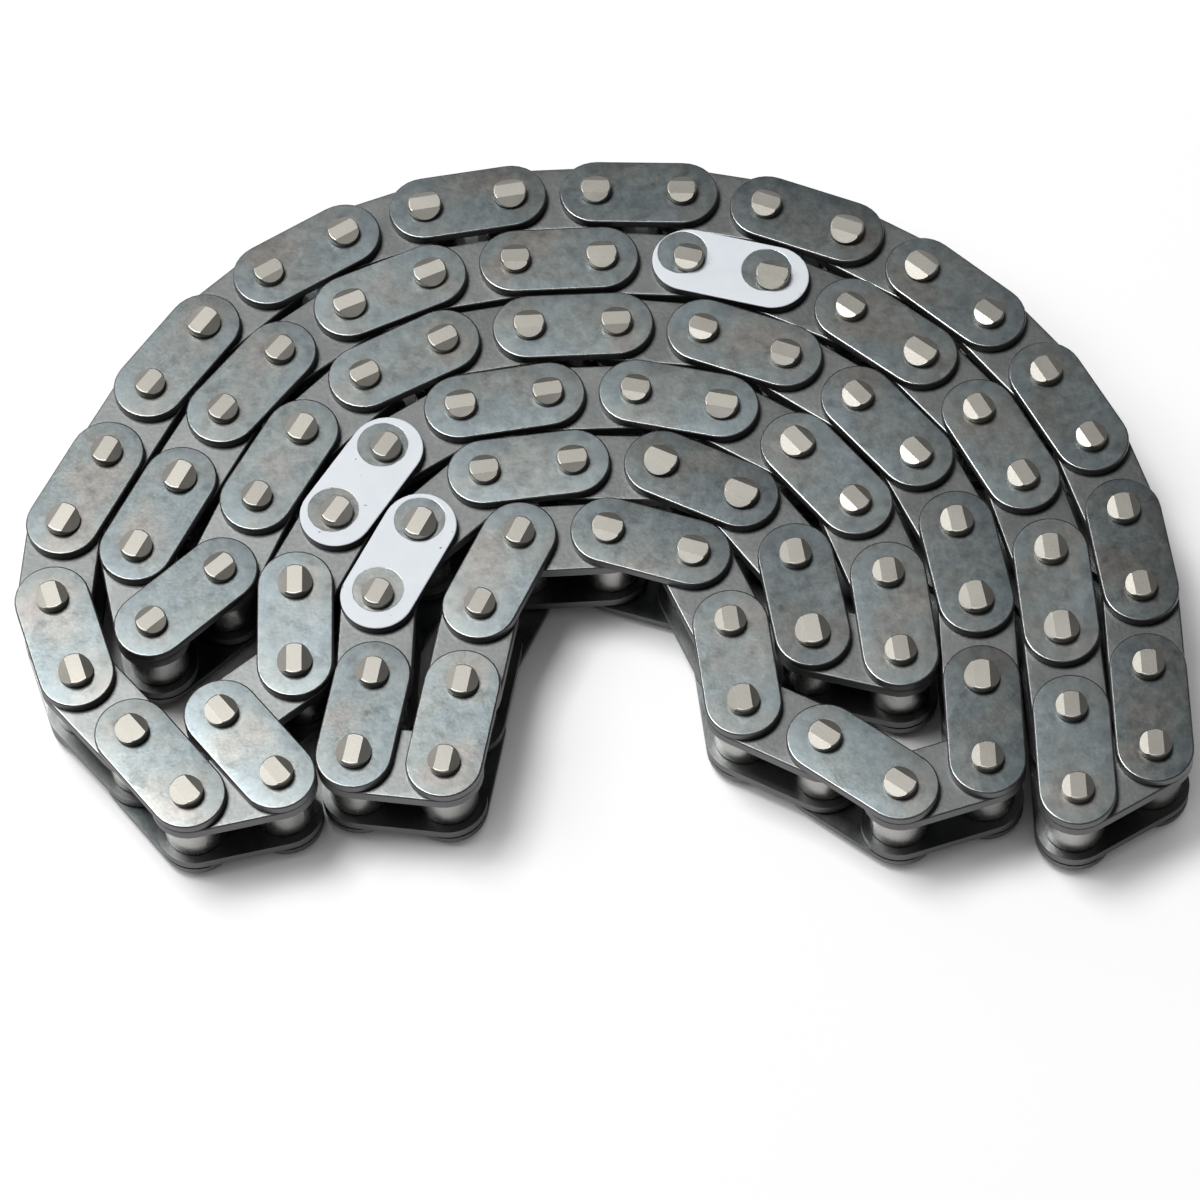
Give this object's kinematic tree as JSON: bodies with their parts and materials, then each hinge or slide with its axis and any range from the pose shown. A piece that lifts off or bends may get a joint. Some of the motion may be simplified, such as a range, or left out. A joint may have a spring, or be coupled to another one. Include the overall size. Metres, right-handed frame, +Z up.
{
  "type": "timing chain",
  "caption": "Endless simplex roller timing chain, laid on its side in nested folds, with riveted pins, straight-sided plates and white-painted timing-mark plates.",
  "frame": {"origin": "middle of the box round the laid chain, on the surface that it lies on", "axes": "+X along the fold's longest side, +Y from the open legs towards the top of the arch, +Z up along the pins"},
  "size_m": [0.1234, 0.085, 0.0127],
  "materials": {
    "outer_plate": "oil-blued gunmetal steel, satin",
    "timing_paint": "brushed-on white marking paint over steel",
    "inner_plate": "tumbled grey steel, dull",
    "pin": "bright hardened steel, riveted ends",
    "bush": "bright steel, smooth",
    "roller": "bright ground steel"
  },
  "bodies": {
    "chain": {"outer_plates_upper": "outer_plate", "outer_plates_lower": "outer_plate", "timing_mark_plates": "timing_paint", "pins": "pin", "inner_plates_upper": "inner_plate", "inner_plates_lower": "inner_plate", "bushes": "bush", "rollers": "roller"},
    "inner_row_roller_1": {"inner_row_roller_1": "roller"},
    "inner_row_roller_2": {"inner_row_roller_2": "roller"},
    "inner_row_roller_3": {"inner_row_roller_3": "roller"},
    "inner_row_roller_4": {"inner_row_roller_4": "roller"},
    "inner_row_roller_5": {"inner_row_roller_5": "roller"},
    "inner_row_roller_6": {"inner_row_roller_6": "roller"},
    "inner_row_roller_7": {"inner_row_roller_7": "roller"},
    "inner_row_roller_8": {"inner_row_roller_8": "roller"},
    "right_lead": {"right_lead_upper_plate": "outer_plate", "right_lead_lower_plate": "outer_plate", "right_lead_pins": "pin"},
    "right_trail": {"right_trail_upper_plate": "outer_plate", "right_trail_lower_plate": "outer_plate", "right_trail_pins": "pin"},
    "right_turn": {"right_turn_upper_plate": "inner_plate", "right_turn_lower_plate": "inner_plate", "right_turn_bushes": "bush"},
    "right_turn_roller_1": {"right_turn_roller_1": "roller"},
    "right_turn_roller_2": {"right_turn_roller_2": "roller"},
    "middle_lead": {"middle_lead_upper_plate": "outer_plate", "middle_lead_lower_plate": "outer_plate", "middle_lead_pins": "pin"},
    "middle_trail": {"middle_trail_upper_plate": "outer_plate", "middle_trail_lower_plate": "outer_plate", "middle_trail_pins": "pin"},
    "middle_turn": {"middle_turn_upper_plate": "inner_plate", "middle_turn_lower_plate": "inner_plate", "middle_turn_bushes": "bush"},
    "middle_turn_roller_1": {"middle_turn_roller_1": "roller"},
    "middle_turn_roller_2": {"middle_turn_roller_2": "roller"},
    "left_lead": {"left_lead_upper_plate": "outer_plate", "left_lead_lower_plate": "outer_plate", "left_lead_pins": "pin"},
    "left_trail": {"left_trail_upper_plate": "outer_plate", "left_trail_lower_plate": "outer_plate", "left_trail_pins": "pin"},
    "left_turn": {"left_turn_upper_plate": "inner_plate", "left_turn_lower_plate": "inner_plate", "left_turn_bushes": "bush"},
    "left_turn_roller_1": {"left_turn_roller_1": "roller"},
    "left_turn_roller_2": {"left_turn_roller_2": "roller"}
  },
  "joints": [
    {"name": "inner_row_roller_1_spin", "type": "hinge", "parent": "chain", "child": "inner_row_roller_1", "pos_m": [0.03106, -0.03705, 0.00636], "axis": [0, 0, 1], "continuous": true},
    {"name": "inner_row_roller_2_spin", "type": "hinge", "parent": "chain", "child": "inner_row_roller_2", "pos_m": [0.02356, -0.03119, 0.00636], "axis": [0, 0, 1], "continuous": true},
    {"name": "inner_row_roller_3_spin", "type": "hinge", "parent": "chain", "child": "inner_row_roller_3", "pos_m": [0.01525, -0.02653, 0.00636], "axis": [0, 0, 1], "continuous": true},
    {"name": "inner_row_roller_4_spin", "type": "hinge", "parent": "chain", "child": "inner_row_roller_4", "pos_m": [0.01425, -0.01706, 0.00636], "axis": [0, 0, 1], "continuous": true},
    {"name": "inner_row_roller_5_spin", "type": "hinge", "parent": "chain", "child": "inner_row_roller_5", "pos_m": [0.01061, -0.00826, 0.00636], "axis": [0, 0, 1], "continuous": true},
    {"name": "inner_row_roller_6_spin", "type": "hinge", "parent": "chain", "child": "inner_row_roller_6", "pos_m": [0.00163, -0.00508, 0.00636], "axis": [0, 0, 1], "continuous": true},
    {"name": "inner_row_roller_7_spin", "type": "hinge", "parent": "chain", "child": "inner_row_roller_7", "pos_m": [-0.00789, -0.00521, 0.00636], "axis": [0, 0, 1], "continuous": true},
    {"name": "inner_row_roller_8_spin", "type": "hinge", "parent": "chain", "child": "inner_row_roller_8", "pos_m": [-0.01214, -0.01374, 0.00636], "axis": [0, 0, 1], "continuous": true},
    {"name": "right_lead_swing", "type": "hinge", "parent": "chain", "child": "right_lead", "pos_m": [0.05761, -0.02426, 0.00636], "axis": [0, 0, 1], "range_deg": [0, 56]},
    {"name": "right_turn_pivot", "type": "hinge", "parent": "right_lead", "child": "right_turn", "pos_m": [0.05761, -0.03379, 0.00636], "axis": [0, 0, 1], "range_deg": [-56, 0]},
    {"name": "right_trail_swing", "type": "hinge", "parent": "chain", "child": "right_trail", "pos_m": [0.04928, -0.02888, 0.00636], "axis": [0, 0, 1], "range_deg": [0, 56]},
    {"name": "right_turn_roller_1_spin", "type": "hinge", "parent": "right_turn", "child": "right_turn_roller_1", "pos_m": [0.05761, -0.03379, 0.00636], "axis": [0, 0, 1], "continuous": true},
    {"name": "right_turn_roller_2_spin", "type": "hinge", "parent": "right_turn", "child": "right_turn_roller_2", "pos_m": [0.04928, -0.0384, 0.00636], "axis": [0, 0, 1], "continuous": true},
    {"name": "middle_lead_swing", "type": "hinge", "parent": "chain", "child": "middle_lead", "pos_m": [-0.01412, -0.02305, 0.00636], "axis": [0, 0, 1], "range_deg": [0, 30]},
    {"name": "middle_turn_pivot", "type": "hinge", "parent": "middle_lead", "child": "middle_turn", "pos_m": [-0.0161, -0.03237, 0.00636], "axis": [0, 0, 1], "range_deg": [-30, 0]},
    {"name": "middle_trail_swing", "type": "hinge", "parent": "chain", "child": "middle_trail", "pos_m": [-0.02352, -0.02156, 0.00636], "axis": [0, 0, 1], "range_deg": [0, 30]},
    {"name": "middle_turn_roller_1_spin", "type": "hinge", "parent": "middle_turn", "child": "middle_turn_roller_1", "pos_m": [-0.0161, -0.03237, 0.00636], "axis": [0, 0, 1], "continuous": true},
    {"name": "middle_turn_roller_2_spin", "type": "hinge", "parent": "middle_turn", "child": "middle_turn_roller_2", "pos_m": [-0.0255, -0.03088, 0.00636], "axis": [0, 0, 1], "continuous": true},
    {"name": "left_lead_swing", "type": "hinge", "parent": "chain", "child": "left_lead", "pos_m": [-0.03933, -0.0255, 0.00636], "axis": [0, 0, 1], "range_deg": [-54, 0]},
    {"name": "left_turn_pivot", "type": "hinge", "parent": "left_lead", "child": "left_turn", "pos_m": [-0.03346, -0.033, 0.00636], "axis": [0, 0, 1], "range_deg": [0, 54]},
    {"name": "left_trail_swing", "type": "hinge", "parent": "chain", "child": "left_trail", "pos_m": [-0.04868, -0.02732, 0.00636], "axis": [0, 0, 1], "range_deg": [-54, 0]},
    {"name": "left_turn_roller_1_spin", "type": "hinge", "parent": "left_turn", "child": "left_turn_roller_1", "pos_m": [-0.03346, -0.033, 0.00636], "axis": [0, 0, 1], "continuous": true},
    {"name": "left_turn_roller_2_spin", "type": "hinge", "parent": "left_turn", "child": "left_turn_roller_2", "pos_m": [-0.04281, -0.03482, 0.00636], "axis": [0, 0, 1], "continuous": true}
  ],
  "couplings": [
    {"joint": "right_turn_pivot", "follows": "right_lead_swing", "ratio": -1},
    {"joint": "right_trail_swing", "follows": "right_lead_swing", "ratio": 1},
    {"joint": "middle_turn_pivot", "follows": "middle_lead_swing", "ratio": -1},
    {"joint": "middle_trail_swing", "follows": "middle_lead_swing", "ratio": 1},
    {"joint": "left_turn_pivot", "follows": "left_lead_swing", "ratio": -1},
    {"joint": "left_trail_swing", "follows": "left_lead_swing", "ratio": 1}
  ]
}
